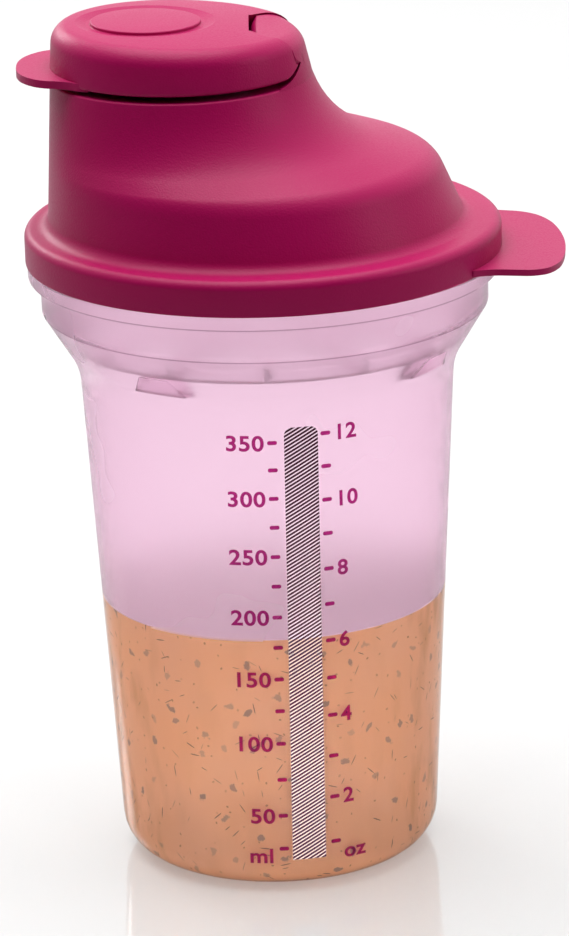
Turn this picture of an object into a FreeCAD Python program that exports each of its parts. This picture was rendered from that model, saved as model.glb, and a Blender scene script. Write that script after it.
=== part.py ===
import FreeCAD, Part
import math
import os

# Shaker bottle for salad dressing, in millimetres.
# The origin is the centre of the foot on the table, +Z is up, +X is the side of the lid's pull tab.

# Beaker
body_radius = 32.4
body_flare = 0.0555
body_height = 105.0
beaker_wall = 1.4
floor_thickness = 1.8
foot_corner = 8.0
foot_ring_width = 4.0
foot_recess = 0.7
shoulder_rise = 11.0
shoulder_bend = 14.0
band_radius = 45.4
band_height = 7.2
ledge_width = 2.2
ledge_slope_height = 0.5
ledge_bend = 1.0
ledge_thickness = 3.2
neck_step = 0.8
rim_height = 5.1
rim_round = 1.0

# Lugs that carry the mixing insert
lug_count = 4
lug_azimuth = -33.7
lug_top_width = 6.5
lug_bottom_width = 12.0
lug_height = 4.0
lug_rise = 6.0
lug_reach = 4.2

# Dressing
fill_height = 55.6
fill_gap = 0.1

# Mixing insert
insert_thickness = 3.0
insert_ring_width = 2.6
insert_mid_radius = 21.0
insert_hub_radius = 7.0
insert_spokes = 12
insert_spoke_width = 1.6
insert_wall_gap = 1.0
insert_seat_gap = 0.1

# Lid skirt, flange and plug ring
skirt_wall = 1.2
skirt_gap = 0.3
ledge_gap = 0.2
flange_thickness = 1.7
flange_round = 0.7
seat_gap = 0.2
plug_depth = 5.0
plug_wall = 1.5
plug_gap = 0.4
lid_wall = 1.7

# Dome and pouring tower: heights above the flange, insets from the skirt, reach from the beaker's axis
foot_fillet = 4.5
tower_height = 31.0
tower_front_inset = 4.9
tower_front_lean = 0.0523
tower_back_reach = 10.7
tower_back_lean = 0.23
dome_slope = 0.315
dome_back_inset = 7.1
dome_corner_height = 13.0
dome_back_lean = 0.44
waist_bend = 21.0
dome_corner_bend = 7.0
dome_sections = 26
tower_edge_round = 0.4

# Spout
spout_offset = 19.5
spout_radius = 8.0
spout_wall = 1.6
spout_rise = 3.5

# Flip cap
cap_gap = 0.8
cap_height = 10.1
cap_edge_bend = 4.5
cap_crown_radius = 200.0
cap_crown_offset = 12.0
cap_lean = 0.14
cap_wall = 1.8
disc_radius = 11.1
moat_width = 2.6
moat_slope = 1.5
moat_depth = 0.6
seal_gap = 0.8
seal_wall = 1.4
seal_overlap = 1.5
thumb_reach = 6.8
thumb_width = 27.0
thumb_shoulder = 2.0
thumb_tip_width = 15.0
thumb_thickness = 1.6
thumb_corner = 6.5

# Hinge between the lid's tongue and the cap's arms: a waisted drum about the hinge axis
tongue_width = 21.5
tongue_front_width = 13.0
tongue_taper = 2.0
tongue_inset = 0.25
tongue_front = -1.2
tongue_drop = 2.4
tongue_slope = 0.1
tongue_back_bend = 4.4
tongue_front_bend = 1.8
notch_gap = 0.4
hinge_inset = 6.7
hinge_rise = 5.3
arm_radius = 4.6
pin_radius = 1.6
pin_length = 2.6
pin_gap = 0.05
socket_end_gap = 0.4

# Pull tab on the lid
pull_reach = 12.9
pull_width = 46.0
pull_shoulder = 5.0
pull_tip_width = 22.0
pull_thickness = 1.3
pull_corner = 11.0
pull_droop = 4.0

# Heights and radii that follow from the sizes above
band_bottom = body_height + shoulder_rise
band_top = band_bottom + band_height
ledge_bottom = band_top + ledge_slope_height
ledge_top = ledge_bottom + ledge_thickness
ledge_radius = band_radius + ledge_width
neck_radius = ledge_radius - neck_step
rim_top = ledge_top + rim_height
lug_seat_height = body_height + lug_rise
mouth_radius = band_radius - beaker_wall
skirt_radius = neck_radius + skirt_gap + skirt_wall
skirt_bottom = ledge_top + ledge_gap
flange_bottom = rim_top + seat_gap
flange_top = flange_bottom + flange_thickness
tower_top = flange_top + tower_height
tower_front_reach = skirt_radius - tower_front_inset
dome_foot = skirt_radius - dome_back_inset
cap_bottom = tower_top + cap_gap
crown_height = cap_bottom + cap_height
hinge_x = tower_back_reach - hinge_inset
hinge_z = tower_top + hinge_rise
cap_front = -tower_front_reach + tower_front_lean * (cap_bottom - flange_top)
cap_back = tower_back_reach - tower_back_lean * cap_gap
cap_x = (cap_front + cap_back) / 2
cap_radius = (cap_back - cap_front) / 2
crown_x = cap_x - cap_crown_offset
spout_x = cap_front + spout_offset
up = FreeCAD.Vector(0, 0, 1)
level_tolerance = 0.05


def point(x, z):
    return FreeCAD.Vector(x, 0, z)


def unit(a, b):
    return (b - a).normalize()


# A chain of corners (point, bend radius) becomes straight runs joined by tangent arcs.
# A bend is limited by the runs beside it.
def rounded_edges(corners, closed=False):
    points = [corner[0] for corner in corners]
    count = len(points)
    starts = list(points)
    ends = list(points)
    arcs = {}
    for i in range(count):
        if not closed and i in (0, count - 1):
            continue
        radius = corners[i][1]
        here = points[i]
        before = points[i - 1]
        after = points[(i + 1) % count]
        to_before = unit(here, before)
        to_after = unit(here, after)
        half = to_before.getAngle(to_after) / 2
        if radius <= 0 or half > math.pi / 2 - 1e-4:
            continue
        room = 0.48 * min(here.distanceToPoint(before), here.distanceToPoint(after))
        reach = min(radius / math.tan(half), room)
        bend = reach * math.tan(half)
        starts[i] = here + to_before * reach
        ends[i] = here + to_after * reach
        middle = here + (to_before + to_after).normalize() * (bend / math.sin(half) - bend)
        arcs[i] = Part.Arc(starts[i], middle, ends[i]).toShape()
    edges = []
    for i in range(count):
        if i in arcs:
            edges.append(arcs[i])
        following = (i + 1) % count
        if (closed or i < count - 1) and ends[i].distanceToPoint(starts[following]) > 1e-6:
            edges.append(Part.LineSegment(ends[i], starts[following]).toShape())
    return edges


def rounded_wire(corners, closed=False):
    return Part.Wire(Part.__sortEdges__(rounded_edges(corners, closed)))


# A chain of points moved sideways by a distance, to the left of its direction in the XZ plane.
def offset_points(points, distance):
    shifted = []
    for a, b in zip(points, points[1:]):
        along = unit(a, b)
        side = FreeCAD.Vector(-along.z, 0, along.x) * distance
        shifted.append((a + side, b + side))
    result = [shifted[0][0]]
    for (a, b), (c, d) in zip(shifted, shifted[1:]):
        u = b - a
        v = d - c
        cross = u.x * v.z - u.z * v.x
        t = ((c.x - a.x) * v.z - (c.z - a.z) * v.x) / cross
        result.append(a + u * t)
    result.append(shifted[-1][1])
    return result


def revolve(wire, axis_x=0):
    return Part.Face(wire).revolve(point(axis_x, 0), up, 360)


def ring(outer, inner, bottom, top, axis_x=0):
    base = point(axis_x, bottom)
    tube = Part.makeCylinder(outer, top - bottom, base)
    return tube.cut(Part.makeCylinder(inner, top - bottom, base))


def box(x0, x1, y0, y1, z0, z1):
    return Part.makeBox(x1 - x0, y1 - y0, z1 - z0, FreeCAD.Vector(x0, y0, z0))


# A plate whose outline is given by plan corners (x, y, bend radius).
def plate(corners, bottom, top):
    chain = [(FreeCAD.Vector(x, y, bottom), bend) for x, y, bend in corners]
    face = Part.Face(rounded_wire(chain, closed=True))
    return face.extrude(FreeCAD.Vector(0, 0, top - bottom))


def body_outer(z):
    return body_radius + body_flare * z


# Beaker: its wall's line, an inset from the outside, and the radius inside it at a height.

def wall_line(inset):
    outside = [
        point(body_outer(0), 0),
        point(body_outer(body_height), body_height),
        point(band_radius, band_bottom),
        point(band_radius, rim_top),
    ]
    return offset_points(outside, inset)


def cavity_radius(z):
    line = wall_line(beaker_wall)
    for low, high in zip(line, line[1:]):
        if z <= high.z:
            return low.x + (high.x - low.x) * (z - low.z) / (high.z - low.z)
    return mouth_radius


def make_beaker():
    ring_outer = body_radius - foot_corner
    ring_inner = ring_outer - foot_ring_width
    shell = wall_line(0)
    inner = wall_line(beaker_wall)
    inner[0] = point(body_outer(floor_thickness) - beaker_wall, floor_thickness)
    corners = [
        (point(0, foot_recess), 0),
        (point(ring_inner - foot_recess, foot_recess), 0),
        (point(ring_inner, 0), 0),
        (shell[0], foot_corner),
        (shell[1], shoulder_bend),
        (shell[2], rim_round),
        (point(band_radius, band_top), 0),
        (point(ledge_radius, ledge_bottom), ledge_bend),
        (point(ledge_radius, ledge_top), neck_step / 2),
        (point(neck_radius, ledge_top), 0),
        (point(neck_radius, rim_top), rim_round),
        (point(mouth_radius, rim_top), rim_round),
        (inner[2], rim_round + beaker_wall),
        (inner[1], shoulder_bend - beaker_wall),
        (inner[0], foot_corner - beaker_wall),
        (point(0, floor_thickness), 0),
    ]
    beaker = revolve(rounded_wire(corners, closed=True))
    for index in range(lug_count):
        beaker = beaker.fuse(make_lug(lug_azimuth + index * 360 / lug_count))
    return beaker.removeSplitter()


# A lug runs from its tip into the middle of the wall.
def make_lug(azimuth):
    bottom = lug_seat_height - lug_height
    tip_radius = cavity_radius(bottom) - lug_reach
    outline = Part.makePolygon([
        FreeCAD.Vector(tip_radius, -lug_bottom_width / 2, bottom),
        FreeCAD.Vector(tip_radius, lug_bottom_width / 2, bottom),
        FreeCAD.Vector(tip_radius, lug_top_width / 2, lug_seat_height),
        FreeCAD.Vector(tip_radius, -lug_top_width / 2, lug_seat_height),
        FreeCAD.Vector(tip_radius, -lug_bottom_width / 2, bottom),
    ])
    lug = Part.Face(outline).extrude(FreeCAD.Vector(band_radius, 0, 0))
    line = wall_line(beaker_wall / 2)
    bends = [0, shoulder_bend - beaker_wall / 2, rim_round + beaker_wall / 2, 0]
    core = [(point(0, line[0].z), 0)] + list(zip(line, bends)) + [(point(0, line[-1].z), 0)]
    lug = lug.common(revolve(rounded_wire(core, closed=True)))
    lug.rotate(point(0, 0), up, azimuth)
    return lug


# Dressing

def make_dressing():
    bottom = floor_thickness + fill_gap
    inset = beaker_wall + fill_gap
    corners = [
        (point(0, bottom), 0),
        (point(body_outer(bottom) - inset, bottom), foot_corner - beaker_wall),
        (point(body_outer(fill_height) - inset, fill_height), 0),
        (point(0, fill_height), 0),
    ]
    return revolve(rounded_wire(corners, closed=True))


# Mixing insert

def make_mixing_insert():
    bottom = lug_seat_height + insert_seat_gap
    top = bottom + insert_thickness
    outer = cavity_radius(bottom) - insert_wall_gap
    wheel = ring(outer, outer - insert_ring_width, bottom, top)
    wheel = wheel.fuse(ring(insert_mid_radius, insert_mid_radius - insert_spoke_width, bottom, top))
    wheel = wheel.fuse(ring(insert_hub_radius, insert_hub_radius - insert_spoke_width, bottom, top))
    for index in range(insert_spokes):
        spoke = box(
            insert_hub_radius - insert_spoke_width / 2, outer - insert_ring_width / 2,
            -insert_spoke_width / 2, insert_spoke_width / 2, bottom, top)
        spoke.rotate(point(0, 0), up, index * 360 / insert_spokes)
        wheel = wheel.fuse(spoke)
    return wheel.removeSplitter()


# Dome and tower: round sections that share the upright front and step back from dome to tower.

def tower_front(z):
    return -tower_front_reach + tower_front_lean * (z - flange_top)


def tower_back(z):
    return tower_back_reach + tower_back_lean * (tower_top - z)


def back_profile(inset):
    bottom = flange_bottom - plug_depth
    top = crown_height + cap_height
    corner_z = flange_top + dome_corner_height
    corner = point(dome_foot - dome_back_lean * dome_corner_height, corner_z)
    run = corner.x - tower_back(corner_z)
    waist_z = corner_z + dome_slope * run / (1 - dome_slope * tower_back_lean)
    waist = point(tower_back(waist_z), waist_z)
    foot = point(corner.x + dome_back_lean * (corner_z - bottom), bottom)
    chain = offset_points([foot, corner, waist, point(tower_back(top), top)], inset)
    return rounded_wire(list(zip(chain, [0, dome_corner_bend - inset, waist_bend + inset, 0])))


def dome_form(inset):
    sections = []
    for spot in back_profile(inset).discretize(Number=dome_sections):
        front = tower_front(spot.z) + inset
        middle = point((front + spot.x) / 2, spot.z)
        circle = Part.Circle(middle, up, (spot.x - front) / 2)
        sections.append(Part.Wire(circle.toShape()))
    return Part.makeLoft(sections, True, False)


def slab(bottom, top):
    reach = 3 * skirt_radius
    return box(-reach, reach, -reach, reach, bottom, top)


# Edges of a shape that lie level at a height, within a distance of the Z axis.
def level_edges(shape, z, reach):
    found = []
    for edge in shape.Edges:
        bounds = edge.BoundBox
        spread = max(abs(bounds.ZMin - z), abs(bounds.ZMax - z))
        extent = max(bounds.XMax, -bounds.XMin, bounds.YMax, -bounds.YMin)
        if spread < level_tolerance and extent < reach:
            found.append(edge)
    return found


# Lid

def make_lid():
    skirt_inner = skirt_radius - skirt_wall
    flange_edge = skirt_radius - flange_round
    corners = [
        (point(skirt_inner, skirt_bottom), skirt_wall / 4),
        (point(skirt_radius, skirt_bottom), skirt_wall / 3),
        (point(skirt_radius, flange_top), flange_round),
        (point(0, flange_top), 0),
        (point(0, flange_bottom), 0),
        (point(skirt_inner, flange_bottom), skirt_wall / 3),
    ]
    lid = revolve(rounded_wire(corners, closed=True))
    lid = lid.fuse(dome_form(0).common(slab(flange_bottom, tower_top)))
    fillet = min(foot_fillet, 0.9 * (flange_edge - tower_front_reach))
    lid = lid.makeFillet(fillet, level_edges(lid, flange_top, flange_edge - level_tolerance))
    lid = lid.makeFillet(tower_edge_round, level_edges(lid, tower_top, skirt_radius))
    deck_bottom = tower_top - lid_wall
    lid = lid.cut(dome_form(lid_wall).common(slab(flange_bottom - plug_depth / 2, deck_bottom)))
    plug_outer = mouth_radius - plug_gap
    lid = lid.fuse(ring(plug_outer, plug_outer - plug_wall, flange_bottom - plug_depth, flange_bottom))
    lid = lid.fuse(make_pull_tab())
    foot = point(spout_x, deck_bottom)
    lid = lid.fuse(Part.makeCylinder(spout_radius + spout_wall, lid_wall + spout_rise, foot))
    lid = lid.cut(Part.makeCylinder(spout_radius, lid_wall + spout_rise, foot))
    return lid.fuse(make_tongue())


def make_pull_tab():
    root = skirt_radius - pull_corner
    shoulder = skirt_radius + pull_shoulder
    tip = skirt_radius + pull_reach
    corners = [
        (root, -pull_width / 2, 0),
        (shoulder, -pull_width / 2, pull_corner),
        (tip, -pull_tip_width / 2, pull_corner),
        (tip, pull_tip_width / 2, pull_corner),
        (shoulder, pull_width / 2, pull_corner),
        (root, pull_width / 2, 0),
    ]
    tab = plate(corners, skirt_bottom, skirt_bottom + pull_thickness)
    tab.rotate(point(skirt_radius, skirt_bottom), FreeCAD.Vector(0, 1, 0), pull_droop)
    below = point(0, skirt_bottom - pull_reach / 2)
    return tab.cut(Part.makeCylinder(skirt_radius - skirt_wall / 2, pull_reach, below))


# The waisted drum about the hinge axis that the tongue fills and the cap's notch leaves free.
def hinge_drum(gap):
    hub = tongue_width / 2 + gap
    front = tongue_front_width / 2 + gap
    hub_radius = arm_radius + gap
    front_radius = hub_radius + tongue_taper
    outline = [
        (-hub, 0),
        (-hub, hub_radius),
        (-front, front_radius),
        (-front, 3 * arm_radius),
        (front, 3 * arm_radius),
        (front, front_radius),
        (hub, hub_radius),
        (hub, 0),
        (-hub, 0),
    ]
    wire = Part.makePolygon([FreeCAD.Vector(hinge_x, y, hinge_z + rise) for y, rise in outline])
    return Part.Face(wire).revolve(point(hinge_x, hinge_z), FreeCAD.Vector(0, 1, 0), 360)


def make_tongue():
    half = tongue_width / 2
    bottom = tower_top - lid_wall / 2
    top = crown_height - tongue_drop
    back_x = tower_back(top - tongue_back_bend)
    back_top = top - tongue_slope * (back_x - tongue_front)
    corners = [
        (point(tongue_front, bottom), 0),
        (point(tongue_front, top), tongue_front_bend),
        (point(back_x, back_top), tongue_back_bend),
        (point(tower_back(bottom) + tongue_back_bend, bottom), 0),
    ]
    side = Part.Face(rounded_wire(corners, closed=True))
    side.translate(FreeCAD.Vector(0, -tongue_width, 0))
    tongue = side.extrude(FreeCAD.Vector(0, 2 * tongue_width, 0))
    tongue = tongue.common(dome_form(tongue_inset)).common(hinge_drum(0))
    depth = notch_gap + pin_length + socket_end_gap
    for sign in (-1, 1):
        mouth = FreeCAD.Vector(hinge_x, sign * (half + notch_gap), hinge_z)
        socket = Part.makeCylinder(pin_radius + pin_gap, depth, mouth, FreeCAD.Vector(0, -sign, 0))
        tongue = tongue.cut(socket)
    return tongue


# Flip cap

# The cap's crown is a shallow ball whose top lies towards the thumb tab.
def crown_ball(inset):
    return Part.makeSphere(cap_crown_radius - inset, point(crown_x, crown_height - cap_crown_radius))


def cup(inset, bend):
    bottom_radius = cap_radius - inset
    tall = 2 * cap_height
    cone = Part.makeCone(bottom_radius, bottom_radius - cap_lean * tall, tall, point(cap_x, cap_bottom))
    body = cone.common(crown_ball(inset))
    edges = [edge for edge in body.Edges if edge.BoundBox.ZMin > cap_bottom + level_tolerance]
    return body.makeFillet(bend, edges)


def crown_fall(radius):
    return cap_crown_radius - math.sqrt(cap_crown_radius ** 2 - radius ** 2)


# Shallow moat round the disc on the crown.
def make_moat():
    outer = disc_radius + moat_width
    rim = crown_height - crown_fall(outer)
    floor = crown_height - crown_fall(disc_radius) - moat_depth
    clear = crown_height + moat_depth
    wire = Part.makePolygon([
        point(crown_x + disc_radius, floor),
        point(crown_x + outer - moat_slope, floor),
        point(crown_x + outer, rim),
        point(crown_x + outer, clear),
        point(crown_x + disc_radius, clear),
        point(crown_x + disc_radius, floor),
    ])
    moat = revolve(wire, crown_x)
    tilt = math.degrees(math.asin((spout_x - crown_x) / cap_crown_radius))
    moat.rotate(point(crown_x, crown_height - cap_crown_radius), FreeCAD.Vector(0, 1, 0), tilt)
    return moat


def make_thumb_tab():
    half = thumb_width / 2
    front = cap_x - cap_radius
    tip = front - thumb_reach
    shoulder = front - thumb_shoulder
    corners = [
        (front + thumb_corner, -half, 0),
        (shoulder, -half, thumb_corner),
        (tip, -thumb_tip_width / 2, thumb_corner),
        (tip, thumb_tip_width / 2, thumb_corner),
        (shoulder, half, thumb_corner),
        (front + thumb_corner, half, 0),
    ]
    tab = plate(corners, cap_bottom, cap_bottom + thumb_thickness)
    middle = point(cap_x, cap_bottom)
    return tab.cut(Part.makeCylinder(cap_radius - cap_wall / 2, thumb_thickness, middle))


def make_flip_cap():
    outer = cup(0, cap_edge_bend)
    hollow = cup(cap_wall, cap_edge_bend - cap_wall)
    notch_half = tongue_width / 2 + notch_gap
    notch_front = tongue_front - notch_gap
    far = cap_x + 2 * cap_radius
    high = crown_height + cap_height
    for side in ((-far, -notch_half), (notch_half, far)):
        hollow = hollow.cut(box(notch_front, far, side[0], side[1], cap_bottom, high))
    seal_inner = spout_radius + spout_wall + seal_gap
    seal_bottom = tower_top + spout_rise - seal_overlap
    hollow = hollow.cut(ring(seal_inner + seal_wall, seal_inner, seal_bottom, high, spout_x))
    cap = outer.cut(hollow)
    cap = cap.fuse(make_thumb_tab())
    cap = cap.cut(make_moat())
    cap = cap.cut(hinge_drum(notch_gap).common(box(notch_front, far, -far, far, cap_bottom - 1, high)))
    hinge_end = FreeCAD.Vector(hinge_x, -far, hinge_z)
    swing = Part.makeCylinder(arm_radius, 2 * far, hinge_end, FreeCAD.Vector(0, 1, 0))
    cap = cap.cut(box(hinge_x, far, -far, far, cap_bottom - 1, high).cut(swing))
    for sign in (-1, 1):
        root = FreeCAD.Vector(hinge_x, sign * (notch_half + pin_radius), hinge_z)
        pin = Part.makeCylinder(pin_radius, pin_radius + pin_length, root, FreeCAD.Vector(0, -sign, 0))
        cap = cap.fuse(pin)
    return cap.removeSplitter()


pieces = {
    "beaker": make_beaker(),
    "dressing": make_dressing(),
    "mixing_insert": make_mixing_insert(),
    "lid": make_lid(),
    "flip_cap": make_flip_cap(),
}
os.makedirs("parts", exist_ok=True)
for name, shape in pieces.items():
    shape.exportStep("parts/" + name + ".step")
    volume = round(shape.Volume / 1000, 2)
    print(name, "solids", len(shape.Solids), "valid", shape.isValid(), "volume", volume, "cm3")
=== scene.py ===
import bpy
import math
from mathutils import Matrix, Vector


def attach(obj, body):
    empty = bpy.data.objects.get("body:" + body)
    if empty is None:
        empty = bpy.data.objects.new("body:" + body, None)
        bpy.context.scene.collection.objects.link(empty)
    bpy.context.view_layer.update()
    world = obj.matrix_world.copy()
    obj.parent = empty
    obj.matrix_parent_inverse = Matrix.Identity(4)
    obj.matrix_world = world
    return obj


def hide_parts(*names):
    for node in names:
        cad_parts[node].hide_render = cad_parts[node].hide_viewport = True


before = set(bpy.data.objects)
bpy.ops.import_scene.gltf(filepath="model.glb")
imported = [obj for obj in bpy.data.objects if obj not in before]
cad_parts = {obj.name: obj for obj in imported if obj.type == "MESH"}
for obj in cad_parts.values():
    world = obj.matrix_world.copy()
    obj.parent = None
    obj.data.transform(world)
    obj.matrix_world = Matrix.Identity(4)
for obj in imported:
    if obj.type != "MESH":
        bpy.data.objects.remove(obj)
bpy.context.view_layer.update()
mm = 0.001
print("frame loaded:", ", ".join(sorted(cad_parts)))


# Small tools for picking, shaping and finishing a piece

def deselectAll():
    if bpy.context.mode != "OBJECT":
        bpy.ops.object.mode_set(mode="OBJECT")
    bpy.ops.object.select_all(action="DESELECT")


def pick(piece):
    deselectAll()
    piece.select_set(True)
    bpy.context.view_layer.objects.active = piece


def nameNew(name):
    piece = bpy.context.object
    piece.name = name
    piece.data.name = name
    return piece


def finishMesh(piece, smoothAngle=35):
    pick(piece)
    bpy.ops.object.transform_apply(location=True, rotation=True, scale=True)
    bpy.ops.object.mode_set(mode="EDIT")
    bpy.ops.mesh.select_all(action="SELECT")
    bpy.ops.mesh.remove_doubles(threshold=0.002 * mm)
    bpy.ops.mesh.normals_make_consistent(inside=False)
    bpy.ops.object.mode_set(mode="OBJECT")
    bpy.ops.object.shade_smooth_by_angle(angle=math.radians(smoothAngle))
    return piece


def applyModifier(piece, kind, **settings):
    pick(piece)
    modifier = piece.modifiers.new(kind, kind)
    for key, value in settings.items():
        setattr(modifier, key, value)
    bpy.ops.object.modifier_apply(modifier=modifier.name)


def carve(piece, cutter, operation="DIFFERENCE"):
    applyModifier(piece, "BOOLEAN", object=cutter, operation=operation, solver="EXACT")
    bpy.data.objects.remove(cutter)


def bisectPiece(piece, place, normal):
    pick(piece)
    bpy.ops.object.mode_set(mode="EDIT")
    bpy.ops.mesh.select_all(action="SELECT")
    bpy.ops.mesh.bisect(plane_co=place, plane_no=normal, use_fill=True, clear_outer=True)
    bpy.ops.object.mode_set(mode="OBJECT")


def joinPieces(pieces, name):
    pick(pieces[0])
    for piece in pieces[1:]:
        piece.select_set(True)
    bpy.ops.object.join()
    return nameNew(name)


def dress(piece, body, slot, material, *nodes):
    piece.data.materials.clear()
    piece.data.materials.append(material)
    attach(piece, body)
    if nodes:
        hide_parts(*nodes)
    return piece


# Outlines in millimetres: corners (x, z, bend) become one list of points per corner

def roundedGroups(corners, steps=6):
    groups = []
    for i, (x, z, bend) in enumerate(corners):
        here = Vector((x, z))
        if bend <= 0 or i in (0, len(corners) - 1):
            groups.append([(x, z)])
            continue
        before = (Vector(corners[i - 1][:2]) - here).normalized()
        after = (Vector(corners[i + 1][:2]) - here).normalized()
        half = before.angle(after) / 2
        reach = bend / math.tan(half)
        centre = here + (before + after).normalized() * bend / math.sin(half)
        start = here + before * reach - centre
        turn = (math.pi - 2 * half) / steps
        if start.x * before.y - start.y * before.x > 0:
            turn = -turn
        arc = []
        for k in range(steps + 1):
            c, s = math.cos(turn * k), math.sin(turn * k)
            arc.append((centre.x + start.x * c - start.y * s, centre.y + start.x * s + start.y * c))
        groups.append(arc)
    return groups


def flatten(groups):
    return [spot for group in groups for spot in group]


def offsetPath(points, distance):   # sideways, to the left of the path's direction
    lines = []
    for a, b in zip(points, points[1:]):
        a, b = Vector(a), Vector(b)
        along = (b - a).normalized()
        side = Vector((-along.y, along.x)) * distance
        lines.append((a + side, b + side))
    path = [tuple(lines[0][0])]
    for (a, b), (c, d) in zip(lines, lines[1:]):
        u, v = b - a, d - c
        t = ((c.x - a.x) * v.y - (c.y - a.y) * v.x) / (u.x * v.y - u.y * v.x)
        path.append(tuple(a + u * t))
    path.append(tuple(lines[-1][1]))
    return path


# A round form that grows ring by ring: each ring spans a front and a back point in the XZ plane

def ringPlace(front, back):
    front, back = Vector(front) * mm, Vector(back) * mm
    middle = (front + back) / 2
    tilt = math.atan2(front.y - back.y, back.x - front.x)
    return Vector((middle.x, 0, middle.y)), (back - front).length / 2, tilt


def ringForm(name, front, back, segments=144, tube=False):
    deselectAll()
    centre, radius, tilt = ringPlace(front[0], back[0])
    bpy.ops.mesh.primitive_circle_add(
        vertices=segments, radius=radius, fill_type="NOTHING" if tube else "TRIFAN",
        location=centre, rotation=(0, tilt, 0))
    piece = nameNew(name)
    bpy.ops.object.transform_apply(location=True, rotation=True, scale=True)
    bpy.ops.object.mode_set(mode="EDIT")
    bpy.ops.mesh.select_all(action="SELECT")
    for ends in zip(front[1:], back[1:]):
        newCentre, newRadius, newTilt = ringPlace(*ends)
        grow = newRadius / radius
        bpy.ops.mesh.extrude_region_move(TRANSFORM_OT_translate={"value": newCentre - centre})
        bpy.ops.transform.resize(value=(grow, grow, grow), center_override=newCentre)
        if abs(newTilt - tilt) > 1e-7:
            bpy.ops.transform.rotate(value=tilt - newTilt, orient_axis="Y", center_override=newCentre)
        centre, radius, tilt = newCentre, newRadius, newTilt
    if tube:
        bpy.ops.mesh.select_all(action="DESELECT")
        bpy.ops.mesh.select_non_manifold()
        bpy.ops.mesh.bridge_edge_loops()
    return finishMesh(piece)


def lathe(name, path, segments=144, tube=False, axisX=0):
    front = [(axisX - r, z) for r, z in path]
    back = [(axisX + r, z) for r, z in path]
    return ringForm(name, front, back, segments, tube)


# Materials: named nodes with their links in one call

def newMaterial(name, **settings):
    material = bpy.data.materials.new(name)
    material.use_nodes = True
    shader = material.node_tree.nodes["Principled BSDF"]
    for key, value in settings.items():
        shader.inputs[key.replace("_", " ")].default_value = value
    return material, shader


def addNode(tree, kind, inputs=None, **settings):
    node = tree.nodes.new(kind)
    for key, value in settings.items():
        setattr(node, key, value)
    for key, value in (inputs or {}).items():
        if isinstance(value, bpy.types.NodeSocket):
            tree.links.new(value, node.inputs[key])
        else:
            node.inputs[key].default_value = value
    return node


def mathNode(tree, operation, first, second=0.0, third=0.0):
    return addNode(tree, "ShaderNodeMath", {0: first, 1: second, 2: third}, operation=operation).outputs[0]


def mixColour(tree, factor, first, second):
    node = addNode(tree, "ShaderNodeMix", {0: factor, 6: first, 7: second}, data_type="RGBA")
    return node.outputs[2]


def remap(tree, value, low, high, toLow=0.0, toHigh=1.0):
    inputs = {"Value": value, "From Min": low, "From Max": high, "To Min": toLow, "To Max": toHigh}
    return addNode(tree, "ShaderNodeMapRange", inputs).outputs["Result"]


def objectSpot(tree):
    place = addNode(tree, "ShaderNodeTexCoord").outputs["Object"]
    return addNode(tree, "ShaderNodeSeparateXYZ", {0: place}).outputs


def newGroup(name, inputs, outputs):
    group = bpy.data.node_groups.new(name, "ShaderNodeTree")
    for label, value in inputs.items():
        socket = group.interface.new_socket(label, in_out="INPUT", socket_type="NodeSocketFloat")
        socket.default_value = value
    for label in outputs:
        group.interface.new_socket(label, in_out="OUTPUT", socket_type="NodeSocketFloat")
    return group, group.nodes.new("NodeGroupInput"), group.nodes.new("NodeGroupOutput")


# Moulded grain: small pebbled cells with a slow mottle, shared by the plastics

def makeGrain():
    group, entry, leave = newGroup("mouldedGrain", {"Scale": 2600.0}, ("Height", "Mottle"))
    place = addNode(group, "ShaderNodeTexCoord").outputs["Object"]
    pebbles = addNode(group, "ShaderNodeTexVoronoi", {
        "Vector": place, "Scale": entry.outputs["Scale"], "Smoothness": 0.6}, feature="SMOOTH_F1")
    fine = addNode(group, "ShaderNodeTexNoise", {
        "Vector": place, "Scale": mathNode(group, "MULTIPLY", entry.outputs["Scale"], 0.7), "Detail": 3.0})
    height = mathNode(group, "MULTIPLY_ADD", fine.outputs[0], 0.7, pebbles.outputs["Distance"])
    slow = addNode(group, "ShaderNodeTexNoise", {"Vector": place, "Scale": 34.0, "Detail": 2.0})
    group.links.new(height, leave.inputs["Height"])
    group.links.new(slow.outputs[0], leave.inputs["Mottle"])
    return group


grainGroup = makeGrain()

lidFinish = dict(deep=(0.35, 0.001, 0.074, 1), bright=(0.39, 0.002, 0.092, 1), gloss=0.18, smooth=0.32,
                 rough=0.44, grain=2700.0, pebble=0.06, bump=0.45)


def makeLidSatin():
    f = lidFinish
    material, shader = newMaterial("lidSatin", Specular_IOR_Level=f["gloss"])
    tree = material.node_tree
    grain = addNode(tree, "ShaderNodeGroup", node_tree=grainGroup)
    grain.inputs["Scale"].default_value = f["grain"]
    colour = mixColour(tree, grain.outputs["Mottle"], f["deep"], f["bright"])
    rough = remap(tree, grain.outputs["Height"], 0.2, 1.1, f["smooth"], f["rough"])
    bumped = addNode(tree, "ShaderNodeBump", {
        "Height": grain.outputs["Height"], "Strength": f["bump"], "Distance": f["pebble"] * mm})
    tree.links.new(colour, shader.inputs["Base Color"])
    tree.links.new(rough, shader.inputs["Roughness"])
    tree.links.new(bumped.outputs[0], shader.inputs["Normal"])
    return material


lidSatin = makeLidSatin()

# edge is the colour of the painted shade lines at the wall's steps; their heights and width follow it
milkFinish = dict(tint=(0.955, 0.80, 0.89, 1), haze=(0.945, 0.785, 0.88, 1), edge=(0.36, 0.22, 0.30, 1),
                  edges=(116.75, 124.0), paintedShadeWidth=0.18)
wheelFinish = dict(tint=(0.97, 0.91, 0.945, 1), haze=(0.96, 0.89, 0.93, 1))


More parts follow.
